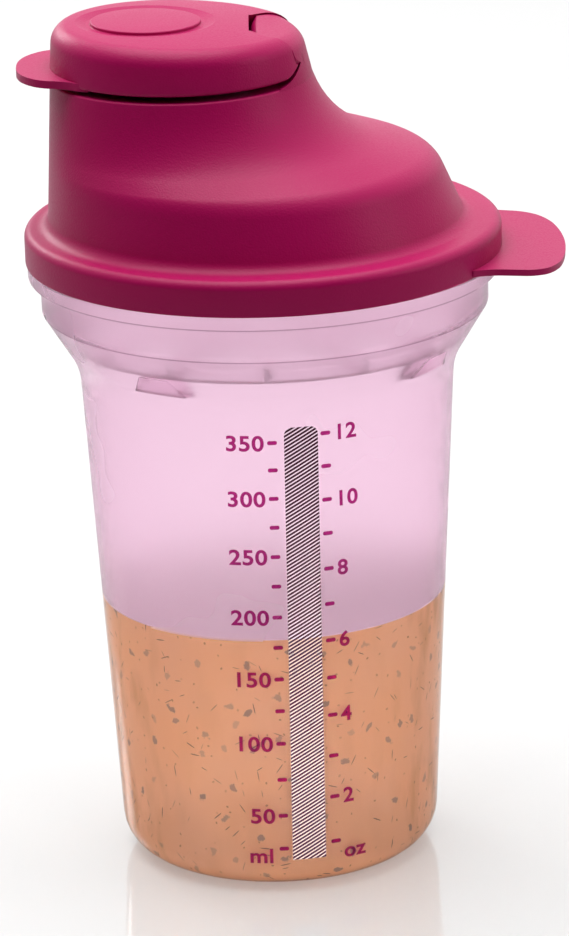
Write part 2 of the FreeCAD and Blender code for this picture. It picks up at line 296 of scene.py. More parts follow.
def makeMilky(name, finish, clear, roughness, ior, edges=()):
    material, shader = newMaterial(name, Transmission_Weight=clear, IOR=ior)
    tree = material.node_tree
    mottle = addNode(tree, "ShaderNodeGroup", node_tree=grainGroup).outputs["Mottle"]
    colour = mixColour(tree, mottle, finish["tint"], finish["haze"])
    for edge in edges:      # painted shade: thin dark lines painted at the heights of the wall's sharp steps, for the shadow under the ledge and the refraction line at the band's foot
        off = mathNode(tree, "ABSOLUTE", mathNode(tree, "SUBTRACT", objectSpot(tree)["Z"], edge * mm))
        line = remap(tree, off, finish["paintedShadeWidth"] * 0.5 * mm, finish["paintedShadeWidth"] * mm, 1.0, 0.0)
        colour = mixColour(tree, line, colour, finish["edge"])
    rough = remap(tree, mottle, 0.3, 0.7, roughness - 0.02, roughness + 0.02)
    tree.links.new(colour, shader.inputs["Base Color"])
    tree.links.new(rough, shader.inputs["Roughness"])
    return material


# the wall is clearer where the dressing wets it, and its dry inside is frosted
beakerWet = makeMilky("beakerWet", milkFinish, 0.98, 0.12, 1.16)
# the outside wall carries the painted shade lines at the steps
beakerMilk = makeMilky("beakerMilk", milkFinish, 0.97, 0.26, 1.16, milkFinish["edges"])
beakerFrost = makeMilky("beakerFrost", milkFinish, 0.97, 0.9, 1.16)
insertPlastic = makeMilky("insertPlastic", wheelFinish, 0.96, 0.13, 1.08)

dressingFinish = dict(
    oil=(0.95, 0.50, 0.17, 1), cream=(0.96, 0.62, 0.34, 1), streak=(0.50, 0.25, 0.05, 1),
    leaf=(0.30, 0.22, 0.14, 1), rust=(0.42, 0.22, 0.08, 1), sliver=(0.09, 0.05, 0.035, 1),
    # near-white colours of the dressing's top: painted light
    paintedLightTop=(1.0, 0.98, 0.98, 1), paintedLightTopCream=(0.98, 0.92, 0.90, 1), radius=0.035, clear=0.4, ior=1.05,
    cloudScale=45.0, runScale=150.0, runStretch=0.3, tearScale=750.0, paintedLightTopScale=110.0)
# cell, half length and half width in mm, share of the cells that hold a bit, and how ragged it is
herbSizes = dict(leaves=(6.4, 1.3, 0.9, 0.6, 2.2), specks=(3.1, 0.42, 0.3, 0.4, 1.2),
                 slivers=(5.2, 1.7, 0.17, 0.42, 0.5), threads=(4.4, 1.1, 0.13, 0.3, 0.4))


def unrolled(tree):     # metres round the beaker from its front, and height
    spot = objectSpot(tree)
    turn = mathNode(tree, "ARCTAN2", spot["X"], mathNode(tree, "MULTIPLY", spot["Y"], -1.0))
    around = mathNode(tree, "MULTIPLY", turn, dressingFinish["radius"])
    return addNode(tree, "ShaderNodeCombineXYZ", {"X": around, "Y": spot["Z"]}).outputs[0], turn


def herbMask(tree, wrap, torn, cell, length, width, share, ragged):
    cells = addNode(tree, "ShaderNodeTexVoronoi", {
        "Vector": wrap, "Scale": 1 / (cell * mm)}, voronoi_dimensions="2D")
    lot = addNode(tree, "ShaderNodeSeparateColor", {"Color": cells.outputs["Color"]})
    off = addNode(tree, "ShaderNodeVectorMath", {0: wrap, 1: cells.outputs["Position"]}, operation="SUBTRACT")
    angle = mathNode(tree, "MULTIPLY", lot.outputs[1], 40.0)     # each bit lies its own way
    turned = addNode(tree, "ShaderNodeVectorRotate", {
        "Vector": off.outputs[0], "Angle": angle}, rotation_type="Z_AXIS")
    sized = addNode(tree, "ShaderNodeVectorMath", {
        0: turned.outputs[0], 1: (1 / (length * mm), 1 / (width * mm), 0)}, operation="MULTIPLY")
    reach = addNode(tree, "ShaderNodeVectorMath", {0: sized.outputs[0]}, operation="LENGTH").outputs["Value"]
    reach = mathNode(tree, "MULTIPLY_ADD", torn, ragged, reach)
    bits = remap(tree, reach, 0.8 + 0.5 * ragged, 0.55 + 0.5 * ragged)
    strength = remap(tree, lot.outputs[2], 0.0, 1.0, 0.35, 0.95)
    held = mathNode(tree, "MULTIPLY", bits, mathNode(tree, "LESS_THAN", lot.outputs[0], share))
    return mathNode(tree, "MULTIPLY", held, strength)


def makeDressing():
    f = dressingFinish
    material, shader = newMaterial("herbDressing", Transmission_Weight=f["clear"], IOR=f["ior"])
    tree = material.node_tree
    wrap, turn = unrolled(tree)
    cloud = addNode(tree, "ShaderNodeTexNoise", {"Vector": wrap, "Scale": f["cloudScale"], "Detail": 3.0})
    colour = mixColour(tree, cloud.outputs[0], f["oil"], f["cream"])
    drawn = addNode(tree, "ShaderNodeMapping", {"Vector": wrap, "Scale": (1, f["runStretch"], 1)})
    runs = addNode(tree, "ShaderNodeTexNoise", {
        "Vector": drawn.outputs[0], "Scale": f["runScale"], "Detail": 3.0})
    aside = mathNode(tree, "ABSOLUTE", turn)        # runs on the left and right, few in front and behind
    fromFront = remap(tree, aside, 0.75, 1.2, 0.12, 0.6)
    fromBack = remap(tree, aside, 1.5, 2.2, 0.6, 0.15)
    sides = mathNode(tree, "MINIMUM", fromFront, fromBack)
    smear = mathNode(tree, "MULTIPLY", remap(tree, runs.outputs[0], 0.5, 0.66), sides)
    colour = mixColour(tree, smear, colour, f["streak"])
    torn = addNode(tree, "ShaderNodeTexNoise", {
        "Vector": wrap, "Scale": f["tearScale"], "Detail": 2.0}).outputs[0]
    for bits, shade in (("leaves", "leaf"), ("specks", "rust"), ("slivers", "sliver"), ("threads", "sliver")):
        colour = mixColour(tree, herbMask(tree, wrap, torn, *herbSizes[bits]), colour, f[shade])
    tree.links.new(colour, shader.inputs["Base Color"])
    tree.links.new(remap(tree, cloud.outputs[0], 0.3, 0.7, 0.35, 0.55), shader.inputs["Roughness"])
    return material


# painted light: the dressing's upward faces are painted near white, for the pale haze seen over the liquid's
# surface
def makeFroth():
    f = dressingFinish
    material, shader = newMaterial("dressingTopPaintedLight", Specular_IOR_Level=0.2)
    tree = material.node_tree
    place = addNode(tree, "ShaderNodeTexCoord").outputs["Object"]
    cloud = addNode(tree, "ShaderNodeTexNoise", {"Vector": place, "Scale": f["paintedLightTopScale"], "Detail": 4.0})
    tree.links.new(mixColour(tree, cloud.outputs[0], f["paintedLightTop"], f["paintedLightTopCream"]), shader.inputs["Base Color"])
    tree.links.new(remap(tree, cloud.outputs[0], 0.3, 0.7, 0.4, 0.6), shader.inputs["Roughness"])
    return material


inkFinish = dict(thin=(0.47, 0.035, 0.24, 1), thick=(0.43, 0.025, 0.21, 1), clear=0.92, ior=1.01)


def makeInk():      # a clear, strong colour: what lies behind the print shows through it
    f = inkFinish
    material, shader = newMaterial("scaleInk", Transmission_Weight=f["clear"], IOR=f["ior"])
    tree = material.node_tree
    mottle = addNode(tree, "ShaderNodeGroup", node_tree=grainGroup).outputs["Mottle"]
    tree.links.new(mixColour(tree, mottle, f["thin"], f["thick"]), shader.inputs["Base Color"])
    tree.links.new(remap(tree, mottle, 0.3, 0.7, 0.04, 0.08), shader.inputs["Roughness"])
    return material


dressingMaterial = makeDressing()
paintedLightTopMaterial = makeFroth()
inkMaterial = makeInk()
print("materials ready")


# Beaker: foot, flared body, shoulder, band, ledge and neck as one turned shell

beakerSizes = dict(
    bodyRadius=32.4, flare=0.0555, bodyHeight=105.0, wall=1.4, floor=1.8, footCorner=8.0, footRing=4.0,
    footRecess=0.7, shoulderRise=11.7, shoulderBend=14.0, bandRadius=45.4, bandHeight=6.5, ledgeWidth=2.5,
    ledgeSlope=0.5, ledgeHeight=2.9, neckStep=1.1, rimHeight=5.4, rimRound=1.0, wetLine=55.6, footRound=0.2,
    bandRound=0.4, ledgeRound=0.6, neckRound=0.2)


def bodyRadiusAt(z):
    return beakerSizes["bodyRadius"] + beakerSizes["flare"] * z


def makeBeaker():
    b = beakerSizes
    ringInner = b["bodyRadius"] - b["footCorner"] - b["footRing"]
    bandBottom = b["bodyHeight"] + b["shoulderRise"]
    bandTop = bandBottom + b["bandHeight"]
    ledgeBottom = bandTop + b["ledgeSlope"]
    ledgeTop = ledgeBottom + b["ledgeHeight"]
    rimTop = ledgeTop + b["rimHeight"]
    ledgeRadius = b["bandRadius"] + b["ledgeWidth"]
    neckRadius = ledgeRadius - b["neckStep"]
    outside = [
        (bodyRadiusAt(0), 0), (bodyRadiusAt(b["bodyHeight"]), b["bodyHeight"]),
        (b["bandRadius"], bandBottom), (b["bandRadius"], rimTop)]
    inside = offsetPath(outside, b["wall"])
    corners = [
        (ringInner - b["footRecess"], b["footRecess"], 0), (ringInner, 0, b["footRound"]),
        (*outside[0], b["footCorner"]), (bodyRadiusAt(b["wetLine"]), b["wetLine"], 0),
        (*outside[1], b["shoulderBend"]), (*outside[2], b["rimRound"]),
        (b["bandRadius"], bandTop, b["bandRound"]), (ledgeRadius, ledgeBottom, b["ledgeRound"]),
        (ledgeRadius, ledgeTop, b["bandRound"]), (neckRadius, ledgeTop, b["neckRound"]),
        (neckRadius, rimTop, b["rimRound"]), (*inside[3], b["rimRound"]),
        (*inside[2], b["rimRound"] + b["wall"]), (*inside[1], b["shoulderBend"] - b["wall"]),
        (bodyRadiusAt(b["wetLine"]) - b["wall"], b["wetLine"], 0),
        (bodyRadiusAt(b["floor"]) - b["wall"], b["floor"], b["footCorner"] - b["wall"]),
        (ringInner, b["floor"], 0)]
    return lathe("beakerShell", flatten(roundedGroups(corners, 8)), segments=160)


def paintBeaker(shell):     # outside, wetted part and dry inside
    for face in shell.data.polygons:
        inward = face.center.x * face.normal.x + face.center.y * face.normal.y < 0
        if face.center.z < beakerSizes["wetLine"] * mm:
            face.material_index = 1
        elif inward:
            face.material_index = 2


beakerShell = dress(makeBeaker(), "beaker", "beaker", beakerMilk, "beaker")
beakerShell.data.materials.append(beakerWet)
beakerShell.data.materials.append(beakerFrost)
paintBeaker(beakerShell)
print("beaker turned")

# Lugs that carry the mixing insert: tapered blocks sunk into the shoulder

lugSizes = dict(count=4, azimuth=-33.7, topWidth=6.5, bottomWidth=12.0, height=4.0, seat=111.0, tip=33.7,
                rootTop=41.2, rootBottom=38.6, edge=0.4)


def makeLugs():
    s = lugSizes
    lugs = []
    for i in range(s["count"]):
        deselectAll()
        bpy.ops.mesh.primitive_cube_add(size=1)
        lug = nameNew("lug")
        for v in lug.data.vertices:
            top = v.co.z > 0
            width = s["topWidth"] if top else s["bottomWidth"]
            root = s["rootTop"] if top else s["rootBottom"]
            v.co.x = (root if v.co.x > 0 else s["tip"]) * mm
            v.co.y = math.copysign(width / 2, v.co.y) * mm
            v.co.z = (s["seat"] if top else s["seat"] - s["height"]) * mm
        applyModifier(lug, "BEVEL", width=s["edge"] * mm, segments=2)
        lug.rotation_euler.z = math.radians(s["azimuth"] + i * 360 / s["count"])
        lugs.append(finishMesh(lug))
    return joinPieces(lugs, "insertLugs")


insertLugs = dress(makeLugs(), "beaker", "beaker", beakerMilk)

# Dressing: the fill, with a small meniscus where it wets the wall

fillSizes = dict(height=55.6, gap=-0.5, meniscus=1.4, meniscusRise=0.5)


def makeDressingFill():
    b, s = beakerSizes, fillSizes
    inset = b["wall"] + s["gap"]
    bottom = b["floor"] + s["gap"]
    top = s["height"] - s["meniscusRise"]
    edge = bodyRadiusAt(s["height"]) - inset
    corners = [
        (b["bodyRadius"] / 2, bottom, 0), (bodyRadiusAt(bottom) - inset, bottom, b["footCorner"] - b["wall"]),
        (edge, s["height"], 0), (edge - s["meniscus"], top, s["meniscus"]), (edge / 2, top, 0)]
    return lathe("dressingFill", flatten(roundedGroups(corners, 8)), segments=160)


dressingFill = dress(makeDressingFill(), "beaker", "dressing", dressingMaterial, "dressing")
dressingFill.data.materials.append(paintedLightTopMaterial)
# upward faces take the near-white painted light
for face in dressingFill.data.polygons:
    face.material_index = int(face.normal.z > 0.5)
print("dressing filled")

# Lid: skirt, flange, dome, tower, deck and spout as one chain of rings

lidSizes = dict(
    skirtRadius=48.3, skirtWall=1.2, skirtBottom=126.7, flangeBottom=132.2, flangeTop=133.9, flangeRound=1.9,
    wall=1.7, footFillet=2.9, frontReach=43.4, frontLean=0.0523, backReach=10.82, backLean=0.23,
    towerTop=164.4, domeFoot=41.2, domeCorner=13.0, domeLean=0.44, domeSlope=0.315, waistBend=21.0,
    cornerBend=7.0, edgeRound=0.5, spoutX=-22.24, spoutRadius=8.0, spoutWall=1.6, spoutRise=3.8,
    plugRadius=43.6, plugWall=1.5, plugDepth=5.0, softEdge=0.4, collarFoot=0.6, collarRim=0.7, boreRim=0.5,
    deckBend=0.8, innerFoot=0.3)


def towerFront(z):
    return -lidSizes["frontReach"] + lidSizes["frontLean"] * (z - lidSizes["flangeTop"])


def towerBack(z):
    return lidSizes["backReach"] + lidSizes["backLean"] * (lidSizes["towerTop"] - z)


def domeBackLine():     # foot, corner, waist and tower top of the dome's back, unrounded
    s = lidSizes
    cornerZ = s["flangeTop"] + s["domeCorner"]
    cornerX = s["domeFoot"] - s["domeLean"] * s["domeCorner"]
    run = cornerX - towerBack(cornerZ)
    waistZ = cornerZ + s["domeSlope"] * run / (1 - s["domeSlope"] * s["backLean"])
    return [(s["domeFoot"], s["flangeTop"]), (cornerX, cornerZ), (towerBack(waistZ), waistZ),
            (s["backReach"], s["towerTop"])]


def makeLid():
    s = lidSizes
    skirtInner = s["skirtRadius"] - s["skirtWall"]
    deckBottom = s["towerTop"] - s["wall"]
    rise = s["towerTop"] + s["spoutRise"]
    spoutOuter = s["spoutRadius"] + s["spoutWall"]
    plugInner = s["plugRadius"] - s["plugWall"]
    foot, corner, waist, top = domeBackLine()
    # back outline, outside, from the skirt's bottom edge to the spout
    skirt = [(skirtInner, s["skirtBottom"], 0), (s["skirtRadius"], s["skirtBottom"], s["softEdge"]),
             (s["skirtRadius"], s["flangeTop"], s["flangeRound"])]
    spout = [(spoutOuter, s["towerTop"], s["collarFoot"]), (spoutOuter, rise, s["collarRim"]),
             (s["spoutRadius"], rise, s["boreRim"]), (s["spoutRadius"], deckBottom, s["softEdge"])]
    backSpout = [(s["spoutX"] + r, z, bend) for r, z, bend in spout]
    frontSpout = [(s["spoutX"] - r, z, bend) for r, z, bend in spout]
    inner = offsetPath([(foot[0] + s["domeLean"] * s["wall"], s["flangeBottom"]), corner, waist,
                        (towerBack(deckBottom), deckBottom)], s["wall"])
    innerFront = towerFront(deckBottom) + s["wall"]
    plugLow = s["flangeBottom"] - s["plugDepth"]
    plug = [(plugInner, s["flangeBottom"], s["innerFoot"]), (plugInner, plugLow, s["softEdge"]),
            (s["plugRadius"], plugLow, s["softEdge"]), (s["plugRadius"], s["flangeBottom"], s["innerFoot"]),
            (skirtInner, s["flangeBottom"], s["softEdge"]), (skirtInner, s["skirtBottom"], 0)]
    back = roundedGroups(
        skirt + [(*foot, s["footFillet"]), (*corner, s["cornerBend"]), (*waist, s["waistBend"]),
                 (*top, s["edgeRound"])] + backSpout + [
            (inner[3][0], deckBottom, s["deckBend"]), (*inner[2], s["waistBend"] + s["wall"]),
            (*inner[1], s["cornerBend"] - s["wall"]), (*inner[0], s["innerFoot"])] + plug, 10)
    frontFoot = (-s["frontReach"], s["flangeTop"], s["footFillet"])
    frontTop = (towerFront(s["towerTop"]), s["towerTop"], s["edgeRound"])
    frontMid = [(towerFront(z), z, 0) for x, z in (corner, waist)]
    innerMid = [(towerFront(z) + s["wall"], z, 0) for x, z in (inner[2], inner[1])]
    innerTop = (innerFront, deckBottom, s["deckBend"])
    innerLow = (towerFront(s["flangeBottom"]) + s["wall"], s["flangeBottom"], s["innerFoot"])
    front = roundedGroups(
        [(-x, z, bend) for x, z, bend in skirt] + [frontFoot] + frontMid + [frontTop] + frontSpout
        + [innerTop] + innerMid + [innerLow] + [(-x, z, bend) for x, z, bend in plug], 10)
    # the waist's wide bend stops short of the top edge, outside and inside
    for waistAt, limit in ((len(skirt) + 2, s["towerTop"] - 1), (len(skirt) + 9, deckBottom - 1)):
        back[waistAt] = [spot for spot in back[waistAt] if spot[1] < limit]
    # where the back bends, the front goes straight up at the same heights
    for i, (backGroup, frontGroup) in enumerate(zip(back, front)):
        if len(backGroup) != len(frontGroup):
            wall = s["wall"] if i > len(skirt) + 4 else 0
            front[i] = [(towerFront(z) + wall, z) for x, z in backGroup]
    return ringForm("lidShell", flatten(front)[:-1], flatten(back)[:-1], segments=160, tube=True)


lidShell = dress(makeLid(), "lid", "lid", lidSatin, "lid")
print("lid shell raised")

# Flip cap: a low leaning drum with a shallow crown, a moat round its disc, hollow below

capSizes = dict(
    bottom=165.7, height=10.1, frontLean=0.06, backLean=0.2, edgeBend=4.0, crownRadius=250.0,
    crownOffset=10.5, wall=1.8, lowEdge=0.6, discRadius=11.1, discFoot=0.15, discRim=0.3,
    moatWidth=3.0, moatSlope=2.0, moatDepth=0.7, moatRim=0.5, moatCorner=0.6,
    sealGap=0.8, sealWall=1.4, sealOverlap=1.5, sealEdge=0.4)
capFront = towerFront(capSizes["bottom"])
capBack = towerBack(capSizes["bottom"])
capMiddle = (capFront + capBack) / 2
crownTop = capSizes["bottom"] + capSizes["height"]
hingeSizes = dict(
    x=4.0, z=170.2, tongueWidth=21.5, tongueFrontWidth=13.0, hubRadius=3.6, taper=2.8, hubBend=1.2,
    taperBend=1.6, armRadius=4.6, gap=0.4, tongueFront=-1.2, tongueRound=5.4, tongueDrop=1.9,
    tongueSlope=0.12, tongueSink=2.4, tongueLip=0.5, lipBend=4.0, backBend=4.2, proud=0.02,
    pinRadius=1.6, pinLength=2.6, pinRoot=0.6, pinGap=0.05, socketSpare=0.4, cheekFront=0.2,
    cheekTop=0.3, cheekLap=0.2, cheekGap=0.7, cheekShift=0.45)


def crownZ(x, inset=0.0):
    radius = capSizes["crownRadius"] - inset
    offset = x - (capMiddle - capSizes["crownOffset"])
    return crownTop - capSizes["crownRadius"] + math.sqrt(radius ** 2 - offset ** 2)


def capSide(edge, side, inset):     # the wall's meeting point with the crown, on the front (-1) or back (1)
    z = crownTop
    lean = capSizes["backLean" if side > 0 else "frontLean"]
    for i in range(4):
        x = edge - side * (inset + lean * (z - capSizes["bottom"]))
        z = crownZ(x, inset)
    return x, z


def capOutline(edge, side):
    s = capSizes
    spout = lidSizes["spoutX"]
    x, z = capSide(edge, side, 0)
    moatEdge = spout + side * (s["discRadius"] + s["moatWidth"])
    moatFloor = spout + side * (s["discRadius"] + s["moatWidth"] - s["moatSlope"])
    discEdge = spout + side * s["discRadius"]
    floorZ = crownZ(discEdge) - s["moatDepth"]
    half = spout + side * s["discRadius"] / 2
    centre = spout + side * 0.5
    corners = [
        (edge - side * 6, s["bottom"], 0), (edge, s["bottom"], s["lowEdge"]), (x, z, s["edgeBend"]),
        (moatEdge, crownZ(moatEdge), s["moatRim"]), (moatFloor, floorZ, s["moatCorner"]),
        (discEdge, floorZ, s["discFoot"]), (discEdge, crownZ(discEdge), s["discRim"]),
        (half, crownZ(half), 0), (centre, crownZ(centre), 0)]
    return flatten(roundedGroups(corners, 8))


def capHollow(edge, side):
    s = capSizes
    x, z = capSide(edge, side, s["wall"])
    low = s["bottom"] - 1
    mouth = edge - side * s["wall"]
    centre = capMiddle + side * 1.0
    corners = [(mouth, low, 0), (x, z, s["edgeBend"] - s["wall"]), (centre, crownZ(centre, s["wall"]), 0)]
    return flatten(roundedGroups(corners, 8))


def hingeDrum(gap):     # waisted drum about the hinge, as a turned form laid on its side
    s = hingeSizes
    hub, front = s["tongueWidth"] / 2 + gap, s["tongueFrontWidth"] / 2 + gap
    hubRadius = s["hubRadius"] + gap
    waist = hubRadius + s["taper"]
    far = 4 * s["armRadius"]
    near = [(hubRadius / 2, -hub, 0), (hubRadius, -hub, s["hubBend"]), (waist, -front, s["taperBend"]),
            (far, -front, 0)]
    corners = near + [(r, -y, bend) for r, y, bend in reversed(near)]
    drum = lathe("hingeDrum", flatten(roundedGroups(corners, 6)), segments=96)
    drum.rotation_euler.x = math.pi / 2
    drum.location = (s["x"] * mm, 0, s["z"] * mm)
    pick(drum)
    bpy.ops.object.transform_apply(location=True, rotation=True, scale=True)
    return drum


def swingRound(radius, shift=0.0):      # a round about the hinge, or a little in front of it and below
    deselectAll()
    bpy.ops.mesh.primitive_cylinder_add(
        vertices=96, radius=radius * mm, depth=0.1, rotation=(math.pi / 2, 0, 0),
        location=((hingeSizes["x"] - shift) * mm, 0, (hingeSizes["z"] - shift) * mm))
    return nameNew("swing")


def hingeBlock(size, forward, up, widen):       # a block across the hinge, its middle set off from the pins
    deselectAll()
    bpy.ops.mesh.primitive_cube_add(
        size=size * mm, location=((hingeSizes["x"] - forward) * mm, 0, (hingeSizes["z"] + up) * mm))
    block = nameNew("hingeBlock")
    block.scale.y = widen
    pick(block)
    bpy.ops.object.transform_apply(location=True, rotation=True, scale=True)
    return block


def makeCap():
    h = hingeSizes
    cap = ringForm("capShell", capOutline(capFront, -1), capOutline(capBack, 1), segments=144)
    notchFront = h["tongueFront"] - h["gap"]
    hollow = ringForm("capHollow", capHollow(capFront, -1), capHollow(capBack, 1), segments=144)
    bisectPiece(hollow, (notchFront * mm, 0, 0), (1, 0, 0))
    carve(cap, hollow)
    notch = hingeDrum(h["gap"])
    bisectPiece(notch, (notchFront * mm, 0, 0), (-1, 0, 0))
    carve(cap, notch)
    # behind the hinge the arms end in a round about the pins
    behind = hingeBlock(40, -20, 0, 2)
    carve(behind, swingRound(h["armRadius"]))
    carve(cap, behind)
    return finishMesh(cap, 30)


capShell = dress(makeCap(), "cap", "flip_cap", lidSatin, "flip_cap")
print("flip cap carved")

# Hinge tongue: a slice of the tower's own round, rising between the cap's arms

def makeTongueForm():
    s = hingeSizes
    top = crownTop - s["tongueDrop"]
    sink = lidSizes["towerTop"] - s["tongueSink"]
    lip = lidSizes["towerTop"] - s["tongueLip"]
    topX = towerBack(top - 1) + s["proud"]
    topZ = top - s["tongueSlope"] * (topX - s["tongueFront"])
    far = towerFront(lidSizes["towerTop"])
    back = [(towerBack(sink) - 0.6, sink, 0), (towerBack(lip) + s["proud"], lip, s["lipBend"]),
            (topX, topZ, s["backBend"]), (0, top + s["tongueSlope"] * s["tongueFront"], 0)]
    high = top + s["tongueSlope"] * (s["tongueFront"] - far)
    front = [(far, sink, 0), (far, lip, s["lipBend"]), (far, high, s["backBend"]),
             (far / 2, high - s["tongueSlope"] * 0.5, 0)]
    form = ringForm("hingeTongue", flatten(roundedGroups(front, 10)), flatten(roundedGroups(back, 10)), 160)
    bisectPiece(form, (s["tongueFront"] * mm, 0, 0), (-1, 0, 0))
    return form


def hingeRod(name, radius, depth, y):       # a rod on the hinge's axis
    deselectAll()
    bpy.ops.mesh.primitive_cylinder_add(
        vertices=48, radius=radius * mm, depth=depth * mm, rotation=(math.pi / 2, 0, 0),
        location=(hingeSizes["x"] * mm, y * mm, hingeSizes["z"] * mm))
    return nameNew(name)


def makeTongue():
    s = hingeSizes
    tongue = makeTongueForm()
    carve(tongue, hingeDrum(0), "INTERSECT")
    # its front rounds off about the hinge, so that the cap swings past it
    before = hingeBlock(20, 10, 10, 3)
    carve(before, swingRound(s["tongueRound"]))
    carve(tongue, before)
    for side in (-1, 1):
        depth = (s["pinLength"] + s["socketSpare"]) * 2
        carve(tongue, hingeRod("socket", s["pinRadius"] + s["pinGap"], depth, side * s["tongueWidth"] / 2))
    parts = [finishMesh(tongue, 30)]
    for side in (-1, 1):        # cheeks close the wedge behind and below the arms' round ends
        cheek = makeTongueForm()
        bisectPiece(cheek, ((s["x"] + s["cheekFront"]) * mm, 0, 0), (-1, 0, 0))
        bisectPiece(cheek, (0, 0, (s["z"] + s["cheekTop"]) * mm), (0, 0, 1))
        inner = side * (s["tongueFrontWidth"] / 2 - s["cheekLap"])
        bisectPiece(cheek, (0, inner * mm, 0), (0, -side, 0))
        carve(cheek, swingRound(s["armRadius"] + s["cheekGap"], s["cheekShift"]))
        parts.append(finishMesh(cheek, 30))
    return joinPieces(parts, "hingeTongue")


hingeTongue = dress(makeTongue(), "lid", "lid", lidSatin)
print("hinge tongue set")

# Hinge pins, moulded on the inner faces of the cap's arms

def makePins():
    s = hingeSizes
    reach = s["tongueWidth"] / 2 + s["gap"] + s["pinRoot"] - s["pinLength"] / 2
    pins = []
    for side in (-1, 1):
        pins.append(finishMesh(hingeRod("pin", s["pinRadius"], s["pinLength"] + s["pinRoot"], side * reach)))
    return joinPieces(pins, "hingePins")


hingePins = dress(makePins(), "cap", "flip_cap", lidSatin)

# Sealing ring under the cap's crown, round the spout collar

def makeSealRing():
    s = capSizes
    inner = lidSizes["spoutRadius"] + lidSizes["spoutWall"] + s["sealGap"]
    outer = inner + s["sealWall"]
    low = lidSizes["towerTop"] + lidSizes["spoutRise"] - s["sealOverlap"]
    high = crownZ(lidSizes["spoutX"] + outer) - s["moatDepth"] - s["wall"] / 2
    corners = [(inner, high, 0), (inner, low, s["sealEdge"]), (outer, low, s["sealEdge"]), (outer, high, 0)]
    return lathe("sealRing", flatten(roundedGroups(corners, 4)), 96, True, lidSizes["spoutX"])


sealRing = dress(makeSealRing(), "cap", "flip_cap", lidSatin)

# Tabs: flat tongues with round corners, for the thumb on the cap and for pulling the lid off

thumbSizes = dict(
    root=-9.5, outline=((-7.4, 17.9), (-3.2, 14.4), (1.6, 13.3), (5.0, 9.2), (6.5, 4.8), (6.8, 0)),
    corner=2.2, thickness=1.6, bottom=165.3)
pullSizes = dict(
    root=-12.0, outline=((-8.0, 26.3), (-4.4, 23.4), (6.8, 22.7), (10.7, 17.0), (12.4, 8.5), (12.9, 0)),
    corner=3.3, thickness=1.3, droop=4.0)


def makeTab(name, sizes, edge):     # grows along +X from the given edge, its underside at height 0
    s = sizes
    outline = ((s["root"], s["outline"][0][1]),) + s["outline"]
    spots = [(edge + x, -half) for x, half in outline] + [(edge + x, half) for x, half in outline[-2::-1]]
    deselectAll()
    bpy.ops.mesh.primitive_circle_add(vertices=len(spots), fill_type="NGON")
    tab = nameNew(name)
    pick(tab)
    bpy.ops.object.mode_set(mode="EDIT")
    bpy.ops.mesh.select_mode(type="VERT")
    bpy.ops.mesh.select_all(action="DESELECT")
    bpy.ops.object.mode_set(mode="OBJECT")
    for vertex, (x, y) in zip(tab.data.vertices, spots):
        vertex.co = (x * mm, y * mm, 0)
        vertex.select = x > edge + s["root"] + 0.1
    bpy.ops.object.mode_set(mode="EDIT")
    bpy.ops.mesh.bevel(offset=s["corner"] * mm, segments=10, affect="VERTICES", offset_type="OFFSET")
    bpy.ops.mesh.select_all(action="SELECT")
    bpy.ops.mesh.extrude_region_move(TRANSFORM_OT_translate={"value": (0, 0, s["thickness"] * mm)})
    bpy.ops.object.mode_set(mode="OBJECT")
    finishMesh(tab)
    applyModifier(tab, "BEVEL", width=0.4 * s["thickness"] * mm, segments=4, limit_method="ANGLE",
                  angle_limit=math.radians(50))
    return finishMesh(tab)


def coreCutter(radius, x):
    deselectAll()
    bpy.ops.mesh.primitive_cylinder_add(vertices=160, radius=radius * mm, depth=1, location=(x * mm, 0, 0))
    return nameNew("core")


def makeThumbTab():
    tab = makeTab("thumbTab", thumbSizes, capMiddle - capFront)
    tab.rotation_euler.z = math.pi
    tab.location = (capMiddle * mm, 0, thumbSizes["bottom"] * mm)
    finishMesh(tab)
    carve(tab, coreCutter(capMiddle - capFront - capSizes["wall"] / 2, capMiddle))
    return finishMesh(tab)


def makePullTab():
    tab = makeTab("pullTab", pullSizes, 0)
    tab.rotation_euler.y = math.radians(pullSizes["droop"])
    tab.location = (lidSizes["skirtRadius"] * mm, 0, lidSizes["skirtBottom"] * mm)
    finishMesh(tab)
    carve(tab, coreCutter(lidSizes["skirtRadius"] - lidSizes["skirtWall"] / 2, 0))
    return finishMesh(tab)


thumbTab = dress(makeThumbTab(), "cap", "flip_cap", lidSatin)
pullTab = dress(makePullTab(), "lid", "lid", lidSatin)
print("tabs added")

# Mixing insert: three rings joined by twelve spokes, resting on the lugs

wheelSizes = dict(
    bottom=111.1, thickness=3.0, outer=39.53, ringWidth=2.6, middle=21.0, hub=7.0, spokes=12, spokeWidth=1.6,
    edgeRound=0.3)


